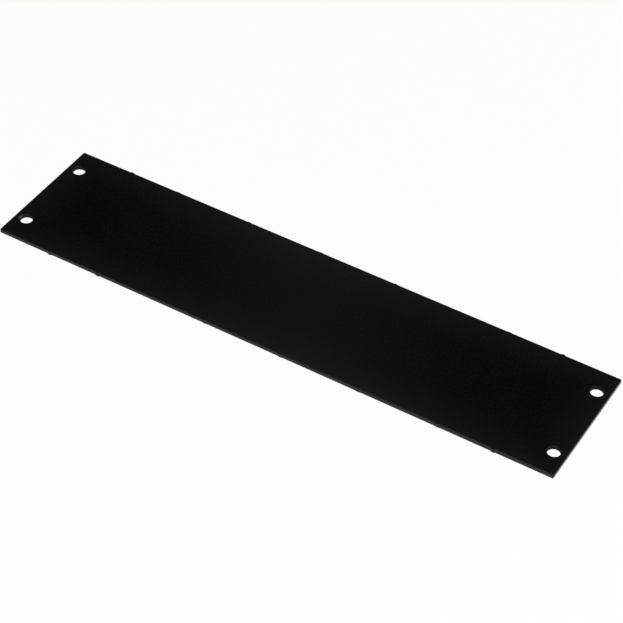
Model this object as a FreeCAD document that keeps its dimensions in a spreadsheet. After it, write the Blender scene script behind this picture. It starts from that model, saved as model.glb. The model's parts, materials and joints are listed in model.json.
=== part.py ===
# Blanking panel: a flat filler plate that screws over an empty equipment opening.
#
# One blank punched out of 16 gauge sheet steel and powder coated black, with a screw hole near
# each corner. The long edges were cut by a rectangular punch that steps along the sheet, and
# where two strokes meet it leaves a tick: a low bump, as tall as the sheet is thick. The same
# run of strokes cut both long edges, turned half round, so the ticks repeat that way too. Only
# the first stroke inside the front edge left a larger tick than the rest.
#
# Frame: millimetres. X runs along the plate, Y across it and Z out of the front face.
# The origin is the middle of the back face.
import FreeCAD
import Part
import os
import Sketcher

NODE = "blanking_panel"
UP = FreeCAD.Vector(0, 0, 1)
TOUCHING = 1e-6

# The driving dimensions: alias, value in millimetres (or a count) and meaning.
SIZES = [
    ("plate_length", "215.9", "8.5 in, end to end"),
    ("plate_width", "50.8", "2 in, across the long edges"),
    ("plate_gauge", "1.52", "16 gauge sheet, coating included"),
    ("corner_radius", "0.5", "corners of the blank"),
    ("front_edge_radius", "0.4", "sheet drawn down where the punches went in"),
    ("back_edge_chamfer", "0.06", "burr broken where they came out"),
    ("hole_diameter", "4.5", "free fit for a no. 8 or M4 screw"),
    ("hole_end_distance", "4.6", "hole centre to the plate's end"),
    ("hole_side_distance", "9.525", "hole centre to the long edge, for a pitch of 1.25 in"),
    ("tick_width", "1.8", "foot of a tick, along the edge"),
    ("tall_tick_height", "0.34", "ticks of the end strokes"),
    ("low_tick_height", "0.17", "ticks of the strokes between them"),
    ("first_tick_width", "2.2", "foot of the first tick inside the front edge"),
    ("first_tick_height", "0.33", "height of that tick"),
    ("tall_tick_distance", "21.45", "tall tick to the plate's end"),
    ("run_end_distance", "41.5", "outermost low tick to the plate's end"),
    ("stroke_pitch", "29.7", "step of the punch along the edge"),
    ("stroke_count", "3", "steps inside the run that leave a tick"),
]


def add_sheet(doc):
    """Keep the driving dimensions in a spreadsheet, each under its own alias."""
    sheet = doc.addObject("Spreadsheet::Sheet", "sizes")
    for row, (alias, value, meaning) in enumerate(SIZES, start=1):
        sheet.set("A%d" % row, alias)
        sheet.set("B%d" % row, value)
        sheet.set("C%d" % row, meaning)
        sheet.setAlias("B%d" % row, alias)
    doc.recompute()
    return sheet


def origin_object(body, role):
    """One of the body's own origin planes or axes."""
    return next(item for item in body.Origin.OriginFeatures if item.Role == role)


def bind(target, bindings):
    """Tie properties or named constraints of an object to expressions over the sheet."""
    for path, expression in bindings.items():
        target.setExpression(path, expression)


def add_sketch(body, name):
    """An empty sketch on the plane of the back face."""
    sketch = body.newObject("Sketcher::SketchObject", name)
    sketch.AttachmentSupport = [(origin_object(body, "XY_Plane"), "")]
    sketch.MapMode = "FlatFace"
    return sketch


def drive(sketch, name, expression, kind, *elements):
    """Add a named dimension to a sketch and tie it to an expression."""
    value = sketch.evalExpression(expression)
    constraint = Sketcher.Constraint(kind, *elements, value)
    sketch.renameConstraint(sketch.addConstraint(constraint), name)
    bind(sketch, {"Constraints." + name: expression})


def add_circle(sketch, name, x, y, radius):
    """A circle in a sketch, its centre and radius given as expressions."""
    centre = FreeCAD.Vector(sketch.evalExpression(x), sketch.evalExpression(y), 0)
    circle = sketch.addGeometry(Part.Circle(centre, UP, sketch.evalExpression(radius)), False)
    drive(sketch, name + "_x", x, "DistanceX", -1, 1, circle, 3)
    drive(sketch, name + "_y", y, "DistanceY", -1, 1, circle, 3)
    drive(sketch, name + "_radius", radius, "Radius", circle)


def add_blank(body, sheet):
    """The plate itself: a rectangle about the origin, raised by the sheet's gauge."""
    sketch = add_sketch(body, "blank_outline")
    x = sheet.plate_length / 2
    y = sheet.plate_width / 2
    corners = [
        FreeCAD.Vector(-x, -y, 0),
        FreeCAD.Vector(x, -y, 0),
        FreeCAD.Vector(x, y, 0),
        FreeCAD.Vector(-x, y, 0),
    ]
    for start, end in zip(corners, corners[1:] + corners[:1]):
        sketch.addGeometry(Part.LineSegment(start, end), False)
    for side, (following, direction) in enumerate(
            [(1, "Horizontal"), (2, "Vertical"), (3, "Horizontal"), (0, "Vertical")]):
        sketch.addConstraint(Sketcher.Constraint("Coincident", side, 2, following, 1))
        sketch.addConstraint(Sketcher.Constraint(direction, side))
    sketch.addConstraint(Sketcher.Constraint("Symmetric", 0, 1, 1, 2, -1, 1))
    drive(sketch, "length", "sizes.plate_length", "DistanceX", 0, 1, 0, 2)
    drive(sketch, "width", "sizes.plate_width", "DistanceY", 1, 1, 1, 2)
    return add_pad(body, "blank", sketch)


def add_pad(body, name, sketch):
    """Raise a sketch on the back face through the whole thickness of the sheet."""
    pad = body.newObject("PartDesign::Pad", name)
    pad.Profile = sketch
    bind(pad, {"Length": "sizes.plate_gauge"})
    return pad


def add_four_corners(body, name, feature, end_distance, side_distance):
    """Repeat a feature near the left end of the back edge at the other three corners."""
    pattern = body.newObject("PartDesign::LinearPattern", name)
    pattern.Originals = [feature]
    pattern.Direction = (origin_object(body, "X_Axis"), [""])
    pattern.Direction2 = (origin_object(body, "Y_Axis"), [""])
    pattern.Occurrences = 2
    pattern.Occurrences2 = 2
    pattern.Reversed2 = True
    bind(pattern, {
        "Length": "sizes.plate_length - 2 * (%s)" % end_distance,
        "Length2": "sizes.plate_width - 2 * (%s)" % side_distance,
    })
    body.Tip = pattern


def add_tick(sketch, name, end_distance, width, height, side=""):
    """A tick on the back edge: a round pin sunk into the edge until only the tick shows.

    The pin's radius is that of the arc which spans the tick's foot and rises to its height.
    A side of "-" puts the tick on the front edge.
    """
    radius = "((%s ^ 2) / (8 * %s) + %s / 2)" % (width, height, height)
    add_circle(
        sketch, name,
        x="%s - sizes.plate_length / 2" % end_distance,
        y="%s(sizes.plate_width / 2 + %s - %s)" % (side, height, radius),
        radius=radius)
    return radius


def add_outer_ticks(body, name, end_distance, height):
    """Ticks that both long edges have near both ends."""
    sketch = add_sketch(body, name + "_outline")
    radius = add_tick(sketch, name, end_distance, "sizes.tick_width", height)
    pad = add_pad(body, name, sketch)
    add_four_corners(body, name + "_pattern", pad, end_distance, "%s - %s" % (radius, height))


def add_stepped_ticks(doc, body):
    """Ticks one stroke apart inside the run, and the same run turned half round."""
    sketch = add_sketch(body, "stepped_tick_outline")
    add_tick(
        sketch, "stepped_tick", "sizes.run_end_distance + sizes.stroke_pitch",
        "sizes.tick_width", "sizes.low_tick_height")
    pad = add_pad(body, "stepped_tick", sketch)
    pattern = body.newObject("PartDesign::MultiTransform", "stepped_tick_pattern")
    pattern.Originals = [pad]
    run = doc.addObject("PartDesign::LinearPattern", "stroke_run")
    body.addObject(run)
    run.Direction = (origin_object(body, "X_Axis"), [""])
    run.Mode = "Spacing"
    bind(run, {"Offset": "sizes.stroke_pitch", "Occurrences": "sizes.stroke_count"})
    turn = doc.addObject("PartDesign::PolarPattern", "half_turn")
    body.addObject(turn)
    turn.Axis = (origin_object(body, "Z_Axis"), [""])
    turn.Occurrences = 2
    pattern.Transformations = [run, turn]
    body.Tip = pattern


def add_first_tick(body):
    """The larger tick of the front edge, over the low one that is there already."""
    sketch = add_sketch(body, "first_tick_outline")
    add_tick(
        sketch, "first_tick", "sizes.run_end_distance",
        "sizes.first_tick_width", "sizes.first_tick_height", side="-")
    add_pad(body, "first_tick", sketch)


def add_holes(doc, body):
    """A plain screw hole through the plate near each corner."""
    sketch = add_sketch(body, "hole_outline")
    add_circle(
        sketch, "hole",
        x="sizes.hole_end_distance - sizes.plate_length / 2",
        y="sizes.plate_width / 2 - sizes.hole_side_distance",
        radius="sizes.hole_diameter / 2")
    hole = body.newObject("PartDesign::Hole", "hole")
    hole.Profile = sketch
    doc.recompute()
    hole.Threaded = False
    hole.DepthType = "ThroughAll"
    hole.Reversed = True
    bind(hole, {"Diameter": "sizes.hole_diameter"})
    add_four_corners(
        body, "hole_pattern", hole, "sizes.hole_end_distance", "sizes.hole_side_distance")


def at_level(edge, level):
    return all(abs(vertex.Z - level) < TOUCHING for vertex in edge.Vertexes)


def treat_edges(doc, body, kind, name, size, chosen):
    """Fillet or chamfer those edges of the body so far that the test chooses."""
    doc.recompute()
    base = body.Tip
    edges = ["Edge%d" % number for number, edge in enumerate(base.Shape.Edges, start=1)
             if chosen(edge)]
    feature = body.newObject("PartDesign::" + kind, name)
    feature.Base = (base, edges)
    bind(feature, size)


def add_panel(doc, sheet):
    body = doc.addObject("PartDesign::Body", NODE)
    add_blank(body, sheet)
    treat_edges(
        doc, body, "Fillet", "blank_corners", {"Radius": "sizes.corner_radius"},
        lambda edge: not at_level(edge, edge.Vertexes[0].Z))
    add_outer_ticks(body, "tall_tick", "sizes.tall_tick_distance", "sizes.tall_tick_height")
    add_outer_ticks(body, "low_tick", "sizes.run_end_distance", "sizes.low_tick_height")
    add_stepped_ticks(doc, body)
    add_first_tick(body)
    add_holes(doc, body)
    treat_edges(
        doc, body, "Fillet", "drawn_down_edges", {"Radius": "sizes.front_edge_radius"},
        lambda edge: at_level(edge, sheet.plate_gauge))
    treat_edges(
        doc, body, "Chamfer", "broken_edges", {"Size": "sizes.back_edge_chamfer"},
        lambda edge: at_level(edge, 0))
    return body


def check(doc, body):
    """Stop if any object failed or the panel isn't one valid solid."""
    for item in doc.Objects:
        if "Invalid" in item.State or "Error" in item.State:
            raise RuntimeError("%s failed: %s" % (item.Name, item.State))
    shape = body.Shape
    if shape.isNull() or not shape.isValid() or len(shape.Solids) != 1:
        raise RuntimeError("%s is not one valid solid" % body.Label)


def main():
    doc = FreeCAD.newDocument("blanking_panel")
    sheet = add_sheet(doc)
    body = add_panel(doc, sheet)
    doc.recompute()
    check(doc, body)
    os.makedirs("parts", exist_ok=True)
    body.Shape.exportStep("parts/%s.step" % body.Label)
    box = body.Shape.optimalBoundingBox(False, False)
    print("%s: %.2f x %.2f x %.2f mm, %.1f mm3" % (
        body.Label, box.XLength, box.YLength, box.ZLength, body.Shape.Volume))


main()
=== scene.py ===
"""Studio scene for the blanking panel: one punched steel plate with a black powder coat."""

import json
import math

import bmesh
import bpy
from mathutils import Matrix, Vector


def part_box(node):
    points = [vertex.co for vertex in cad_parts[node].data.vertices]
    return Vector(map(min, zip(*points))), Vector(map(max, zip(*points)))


MM = 0.001
DEG = math.pi / 180


# ---------------------------------------------------------------- helpers

def hex_colour(text):
    """An sRGB hex value as the linear RGBA that shaders and lamps take."""
    channels = []
    for start in (0, 2, 4):
        value = int(text[start:start + 2], 16) / 255
        linear = value / 12.92 if value <= 0.04045 else ((value + 0.055) / 1.055) ** 2.4
        channels.append(linear)
    return (*channels, 1.0)


def add_node(tree, kind, settings=None, **inputs):
    """Add a shader node. A socket given as an input is linked, and anything else is its value.

    Input names are the socket's own, in lower case with underscores, or in_0, in_1 by number.
    """
    node = tree.nodes.new("ShaderNode" + kind)
    for name, value in (settings or {}).items():
        setattr(node, name, value)
    by_name = {
        socket.name.lower().replace(" ", "_"): socket
        for socket in node.inputs if socket.enabled}
    for name, value in inputs.items():
        number = name.removeprefix("in_")
        socket = node.inputs[int(number)] if number.isdigit() else by_name[name]
        if isinstance(value, bpy.types.NodeSocket):
            tree.links.new(value, socket)
        else:
            socket.default_value = value
    return node


def new_material(name):
    material = bpy.data.materials.new(name)
    material.use_nodes = True
    material.node_tree.nodes.clear()
    return material


def per_metre(size):
    """The scale of a noise on Object coordinates whose features are this many metres across."""
    return 1 / size


# ---------------------------------------------------------------- powder coat

THIN_FILM = "080406"
THICK_FILM = "0b0509"
PAINTED_GRAIN_GLINT = "181216"            # painted glints on the grain's highest points
# painted glare, mixed into the film in a margin along the plate's edges
PAINTED_EDGE_GLARE = "191919"
# walls of the holes: darker partly for their thinner coat and partly as painted shade
WALL_COAT_AND_SHADE = "050404"
# painted glint on the rim of the front-left hole
PAINTED_RIM_GLINT = "5f5e5b"

DRIFT_SIZE = 28 * MM        # patches in which the film grows thicker and thinner
DRIFT_NOISE = {"detail": 3.0, "roughness": 0.55}
DRIFT_THIN = 0.35           # values of that noise at which the film is thinnest and thickest
DRIFT_THICK = 0.65

PEEL_SIZE = 1.6 * MM        # waves of the orange peel
PEEL_HEIGHT = 0.02 * MM
PEEL_NOISE = {"detail": 1.0, "roughness": 0.4}
GRAIN_SIZE = 0.35 * MM      # about 0.1 mm in the real film, drawn coarser so that it shows
GRAIN_HEIGHT = 0.006 * MM
GRAIN_NOISE = {"detail": 2.0, "roughness": 0.6}
BUMP_STRENGTH = 0.5
GRAIN_GLINT_START = 0.45          # values of the grain between which a painted glint comes up
GRAIN_GLINT_FULL = 0.75

POLYESTER_IOR = 1.5
SPECULAR_LEVEL = 0.22       # under the usual 0.5, because a matted film mirrors less
GLOSS_START = 0.3           # values of the grain between which the gloss falls
GLOSS_END = 0.7
GLOSSY = 0.22               # roughness of the film's smoothest and dullest grain
DULL = 0.30

EDGE_GLARE_WIDTH = 20 * MM   # margin along the plate's edges in which the film is painted greyer, a painted glare
EDGE_GLARE_FALL = 2.0        # power by which the painted glare fades away from the edge
HOLE_MARGIN = 1 * MM        # upright faces further in than this are the walls of holes
UPRIGHT_FACING = 0.3        # share of its normal along Z at which a face counts as upright
FLAT_FACING = 0.97          # and as flat
WALL_DULLNESS = 0.5         # roughness that those walls have on top of the film's own

# Where the painted glint on the hole's rim sits, and its shape.
RIM_GLINT_OFFSET = Vector((-2.2 * MM, -0.35 * MM, 0))   # from the middle of the hole
RIM_GLINT_SHAPE = Vector((1, 0.55, 1))    # shrinks distance along Y, so the place is long that way
RIM_GLINT_CORE = 0.2 * MM
RIM_GLINT_REACH = 0.82 * MM


def add_margin(tree, place, middle, half):
    """Distance from a point to the nearest edge of the plate, seen from its front."""
    centred = add_node(tree, "VectorMath", {"operation": "SUBTRACT"}, in_0=place, in_1=middle)
    across = add_node(tree, "SeparateXYZ", vector=centred.outputs["Vector"])
    margins = []
    for axis, reach in (("X", half.x), ("Y", half.y)):
        off_centre = add_node(
            tree, "Math", {"operation": "ABSOLUTE"}, in_0=across.outputs[axis])
        margins.append(add_node(
            tree, "Math", {"operation": "SUBTRACT"}, in_0=reach, in_1=off_centre.outputs[0]))
    nearest = add_node(
        tree, "Math", {"operation": "MINIMUM"},
        in_0=margins[0].outputs[0], in_1=margins[1].outputs[0])
    return nearest.outputs[0]


def add_hole_walls(tree, normal, margin):
    """1 on the walls of the holes, which stand upright inside the margin, and 0 elsewhere."""
    across = add_node(tree, "SeparateXYZ", vector=normal)
    facing = add_node(tree, "Math", {"operation": "ABSOLUTE"}, in_0=across.outputs["Z"])
    upright = add_node(
        tree, "MapRange", value=facing.outputs[0],
        from_min=UPRIGHT_FACING, from_max=FLAT_FACING, to_min=1.0, to_max=0.0)
    inside = add_node(
        tree, "Math", {"operation": "GREATER_THAN"}, in_0=margin, in_1=HOLE_MARGIN)
    walls = add_node(
        tree, "Math", {"operation": "MULTIPLY"},
        in_0=upright.outputs["Result"], in_1=inside.outputs[0])
    return walls.outputs[0]


def add_rim_glint(tree, place, centre):
    """1 in the middle of the painted glint on the hole's rim and 0 round it."""
    shaped = add_node(
        tree, "VectorMath", {"operation": "MULTIPLY"}, in_0=place, in_1=RIM_GLINT_SHAPE)
    distance = add_node(
        tree, "VectorMath", {"operation": "DISTANCE"},
        in_0=shaped.outputs["Vector"], in_1=centre * RIM_GLINT_SHAPE)
    rim_glint = add_node(
        tree, "MapRange", {"interpolation_type": "SMOOTHSTEP"}, value=distance.outputs["Value"],
        from_min=RIM_GLINT_CORE, from_max=RIM_GLINT_REACH, to_min=1.0, to_max=0.0)
    return rim_glint.outputs["Result"]


def powder_coat(middle, half, rim_glint_centre):
    """Satin black polyester powder coat on punched steel: near black, with a soft sheen.

    The powder melts into a skin that is never quite flat. Its waves, the orange peel, are
    1 to 2 mm long and a few microns high, and a finer grain dulls the gloss. A wide margin
    along the plate's edges is painted a little greyer, as a painted glare that lightens the film.
    Less powder reaches the walls of the holes, which stay duller, and they are painted darker,
    partly for that thinner coat and partly as painted shade. A painted glint greys one place on
    the rim of a hole.
    """
    material = new_material("black powder coat")
    tree = material.node_tree
    surface = add_node(tree, "TexCoord").outputs
    place = surface["Object"]
    margin = add_margin(tree, place, middle, half)
    walls = add_hole_walls(tree, surface["Normal"], margin)

    # Slow drift of the film's thickness, which shifts its colour a little.
    drift = add_node(
        tree, "TexNoise", vector=place, scale=per_metre(DRIFT_SIZE), **DRIFT_NOISE)
    thickness = add_node(
        tree, "MapRange", value=drift.outputs["Fac"],
        from_min=DRIFT_THIN, from_max=DRIFT_THICK)
    film = add_node(
        tree, "MixRGB", color1=hex_colour(THIN_FILM), color2=hex_colour(THICK_FILM),
        fac=thickness.outputs["Result"])

    # Fine grain, whose highest points carry painted glints.
    grain = add_node(
        tree, "TexNoise", vector=place, scale=per_metre(GRAIN_SIZE), **GRAIN_NOISE)
    grain_glints = add_node(
        tree, "MapRange", value=grain.outputs["Fac"],
        from_min=GRAIN_GLINT_START, from_max=GRAIN_GLINT_FULL)
    glinted = add_node(
        tree, "MixRGB", color1=film.outputs["Color"], color2=hex_colour(PAINTED_GRAIN_GLINT),
        fac=grain_glints.outputs["Result"])

    # Painted glare: the film is painted greyer towards the plate's edges.
    nearness = add_node(
        tree, "MapRange", value=margin,
        from_min=0.0, from_max=EDGE_GLARE_WIDTH, to_min=1.0, to_max=0.0)
    edge_glare = add_node(
        tree, "Math", {"operation": "POWER"},
        in_0=nearness.outputs["Result"], in_1=EDGE_GLARE_FALL)
    glared = add_node(
        tree, "MixRGB", color1=glinted.outputs["Color"], color2=hex_colour(PAINTED_EDGE_GLARE),
        fac=edge_glare.outputs[0])

    # Walls of the holes painted darker, partly a thinner coat and partly painted shade, and a
    # painted glint on one hole's rim.
    walls_darkened = add_node(
        tree, "MixRGB", color1=glared.outputs["Color"], color2=hex_colour(WALL_COAT_AND_SHADE), fac=walls)
    colour = add_node(
        tree, "MixRGB", color1=walls_darkened.outputs["Color"], color2=hex_colour(PAINTED_RIM_GLINT),
        fac=add_rim_glint(tree, place, rim_glint_centre))

    # Satin gloss, duller on the walls of the holes.
    satin = add_node(
        tree, "MapRange", value=grain.outputs["Fac"],
        from_min=GLOSS_START, from_max=GLOSS_END, to_min=GLOSSY, to_max=DULL)
    roughness = add_node(
        tree, "Math", {"operation": "MULTIPLY_ADD"},
        in_0=walls, in_1=WALL_DULLNESS, in_2=satin.outputs["Result"])

    # Orange peel under the grain.
    peel = add_node(
        tree, "TexNoise", vector=place, scale=per_metre(PEEL_SIZE), **PEEL_NOISE)
    peel_bump = add_node(
        tree, "Bump", height=peel.outputs["Fac"], strength=BUMP_STRENGTH, distance=PEEL_HEIGHT)
    grain_bump = add_node(
        tree, "Bump", height=grain.outputs["Fac"], strength=BUMP_STRENGTH,
        distance=GRAIN_HEIGHT, normal=peel_bump.outputs["Normal"])

    coat = add_node(
        tree, "BsdfPrincipled", base_color=colour.outputs["Color"],
        roughness=roughness.outputs[0], ior=POLYESTER_IOR, specular_ior_level=SPECULAR_LEVEL,
        normal=grain_bump.outputs["Normal"])
    add_node(tree, "OutputMaterial", surface=coat.outputs["BSDF"])
    return material


# ---------------------------------------------------------------- studio

WHITE = "ffffff"
PAPER_GLOW = 0.95           # share of the paper that glows; the rest still takes shadows
PAPER_RADIUS = 3.0          # flat part of the sweep, metres
COVE_RADIUS = 0.9           # round foot of the sweep's rim, metres
COVE_STEPS = 24
RIM_STEPS = 96
ROOM_LIGHT = 0.01           # strength of the room's own light, where 1 is white


def studio_paper():
    """White paper sweep. Seen directly or in a reflection it glows white, over its own shading."""
    material = new_material("white paper sweep")
    tree = material.node_tree
    rays = add_node(tree, "LightPath").outputs
    seen = rays["Is Camera Ray"]
    for kind in ("Is Glossy Ray", "Is Transmission Ray"):
        seen = add_node(
            tree, "Math", {"operation": "MAXIMUM"}, in_0=seen, in_1=rays[kind]).outputs[0]
    share = add_node(tree, "Math", {"operation": "MULTIPLY"}, in_0=seen, in_1=PAPER_GLOW)
    paper = add_node(tree, "BsdfDiffuse", color=hex_colour(WHITE))
    glow = add_node(tree, "Emission", color=hex_colour(WHITE), strength=1.0)
    mixed = add_node(
        tree, "MixShader", fac=share.outputs[0], in_1=paper.outputs[0], in_2=glow.outputs[0])
    add_node(tree, "OutputMaterial", surface=mixed.outputs[0])
    return material


def add_sweep():
    """Round paper floor whose rim curves up all round."""
    mesh = bpy.data.meshes.new("paper_sweep")
    shape = bmesh.new()
    bmesh.ops.create_circle(
        shape, cap_ends=True, segments=RIM_STEPS, radius=PAPER_RADIUS)
    rim = [edge for edge in shape.edges if edge.is_boundary]
    for step in range(1, COVE_STEPS + 1):
        turn = step / COVE_STEPS * math.pi / 2
        radius = PAPER_RADIUS + COVE_RADIUS * math.sin(turn)
        height = COVE_RADIUS * (1 - math.cos(turn))
        grown = bmesh.ops.extrude_edge_only(shape, edges=rim)["geom"]
        rim = [item for item in grown if isinstance(item, bmesh.types.BMEdge)]
        ring = [item for item in grown if isinstance(item, bmesh.types.BMVert)]
        for corner in ring:
            flat = corner.co.xy.normalized() * radius
            corner.co = (flat.x, flat.y, height)
    bmesh.ops.recalc_face_normals(shape, faces=shape.faces)
    shape.to_mesh(mesh)
    shape.free()
    mesh.shade_smooth()
    sweep = bpy.data.objects.new("paper_sweep", mesh)
    bpy.context.scene.collection.objects.link(sweep)
    sweep.data.materials.append(studio_paper())


def on_sphere(azimuth, elevation, distance, centre):
    """A point at that distance from the centre; azimuth 0 is in front, on the -Y side."""
    return centre + distance * Vector((
        math.sin(azimuth) * math.cos(elevation),
        -math.cos(azimuth) * math.cos(elevation),
        math.sin(elevation)))


def add_softbox(name, centre, azimuth, elevation, distance, width, height, watts):
    """Rectangular lamp that faces the centre, its angles in degrees and its sizes in metres."""
    lamp = bpy.data.lights.new(name, "AREA")
    lamp.shape = "RECTANGLE"
    lamp.size = width
    lamp.size_y = height
    lamp.energy = watts
    softbox = bpy.data.objects.new(name, lamp)
    softbox.location = on_sphere(azimuth * DEG, elevation * DEG, distance, centre)
    softbox.rotation_euler = (centre - softbox.location).to_track_quat("-Z", "Y").to_euler()
    bpy.context.scene.collection.objects.link(softbox)


def add_room():
    """Dim room round the studio, which the panel's face mirrors."""
    world = bpy.data.worlds.new("room")
    world.use_nodes = True
    world.node_tree.nodes.clear()
    room = add_node(
        world.node_tree, "Background", color=hex_colour(WHITE), strength=ROOM_LIGHT)
    add_node(world.node_tree, "OutputWorld", surface=room.outputs[0])
    bpy.context.scene.world = world


def light_studio(centre):
    """A key from the right and a fill from the front, with two cards that give soft glints.

    The panel's rounded front edge mirrors the edge card and its flat face the back card.
    """
    add_room()
    add_softbox(
        "key", centre, azimuth=95, elevation=36, distance=1.6, width=0.9, height=0.9, watts=11)
    add_softbox(
        "fill", centre, azimuth=14, elevation=48, distance=1.6, width=1.5, height=1.9,
        watts=15.5)
    add_softbox(
        "edge_card", centre, azimuth=-18, elevation=50, distance=1.6, width=0.25, height=1.8,
        watts=2)
    add_softbox(
        "back_card", centre, azimuth=-151, elevation=43, distance=1.5, width=0.12, height=0.7,
        watts=0.09)


# ---------------------------------------------------------------- camera

AIM_X = 5.38 * MM           # place on the front face at which the lens points
AIM_Y = -2.27 * MM
VIEW_AZIMUTH = 29.25 * DEG
VIEW_ELEVATION = 43.22 * DEG
VIEW_DISTANCE = 725.3 * MM
VIEW_ROLL = 2.51 * DEG
LENS_LENGTH = 124.16        # in millimetres, as is the sensor
SENSOR_WIDTH = 36.0


def add_camera(front_face):
    """Long lens from the right, looking down on the front face close to its middle."""
    aim = Vector((AIM_X, AIM_Y, front_face))
    lens = bpy.data.cameras.new("camera")
    lens.lens = LENS_LENGTH
    lens.sensor_width = SENSOR_WIDTH
    camera = bpy.data.objects.new("camera", lens)
    camera.location = on_sphere(VIEW_AZIMUTH, VIEW_ELEVATION, VIEW_DISTANCE, aim)
    level = (aim - camera.location).to_track_quat("-Z", "Y").to_matrix()
    camera.rotation_euler = (level @ Matrix.Rotation(VIEW_ROLL, 3, "Z")).to_euler()
    bpy.context.scene.collection.objects.link(camera)
    bpy.context.scene.camera = camera


# ---------------------------------------------------------------- scene

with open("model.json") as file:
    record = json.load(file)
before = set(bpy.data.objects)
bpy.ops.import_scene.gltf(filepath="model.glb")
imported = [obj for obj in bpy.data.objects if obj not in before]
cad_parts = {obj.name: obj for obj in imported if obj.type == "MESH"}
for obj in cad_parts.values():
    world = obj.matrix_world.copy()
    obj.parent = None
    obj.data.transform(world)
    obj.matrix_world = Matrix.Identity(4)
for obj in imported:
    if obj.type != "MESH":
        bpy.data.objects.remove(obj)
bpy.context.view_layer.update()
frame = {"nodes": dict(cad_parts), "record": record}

low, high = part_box("blanking_panel")
middle = (low + high) / 2
# A painted glint sits on the rim of the front-left hole.
hole = next(
    mount for mount in frame["record"]["mounts"] if mount["name"] == "hole_front_left")
rim_glint_centre = Vector((*hole["pos_m"][:2], high.z)) + RIM_GLINT_OFFSET

panel = frame["nodes"]["blanking_panel"]
panel.data.materials.clear()
panel.data.materials.append(powder_coat(middle, high - middle, rim_glint_centre))
add_sweep()
light_studio(middle)
add_camera(high.z)
bpy.context.scene.view_settings.view_transform = "Standard"
